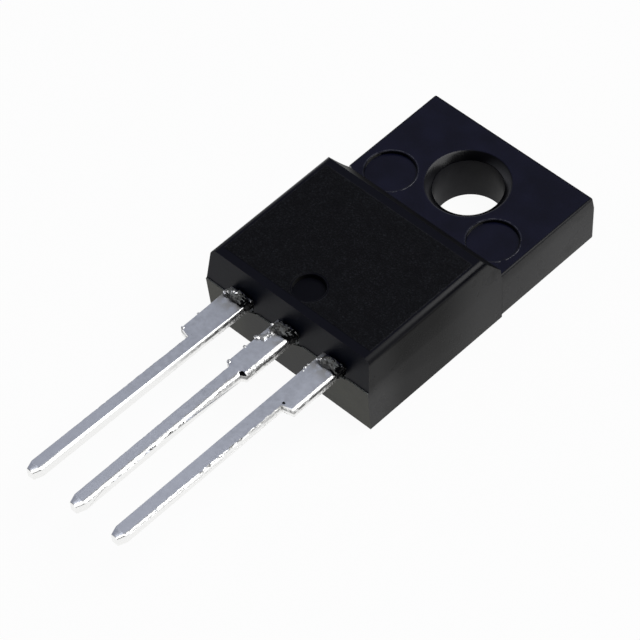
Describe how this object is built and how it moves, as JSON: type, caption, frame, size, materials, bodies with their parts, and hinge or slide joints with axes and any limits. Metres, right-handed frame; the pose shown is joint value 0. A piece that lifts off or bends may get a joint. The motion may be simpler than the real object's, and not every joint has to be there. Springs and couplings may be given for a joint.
{
  "type": "power transistor",
  "caption": "Three-lead power transistor in a fully moulded insulated package, with a mounting tab and screw hole, leads straight",
  "frame": {"origin": "Axis of the mounting hole, at the flat back face", "axes": "+Z leaves the marked face, +Y points to the end of the mounting tab, the leads leave towards -Y, +X is to the right when the marked face is seen with the leads down"},
  "size_m": [0.01, 0.0278, 0.0044],
  "materials": {
    "mould_compound": "fine matte, smoother on the draft faces",
    "plated_copper": "matte tin plating, bright where sheared",
    "silicon": "metallised, satin",
    "solder": "dull",
    "bond_wire": "satin"
  },
  "bodies": {
    "root": {"moulded_body": "mould_compound", "drain_lead": "plated_copper", "gate_lead": "plated_copper", "source_lead": "plated_copper", "silicon_die": "silicon", "die_solder": "solder", "gate_wire": "bond_wire", "source_wire_inner": "bond_wire", "source_wire_outer": "bond_wire"}
  },
  "joints": []
}
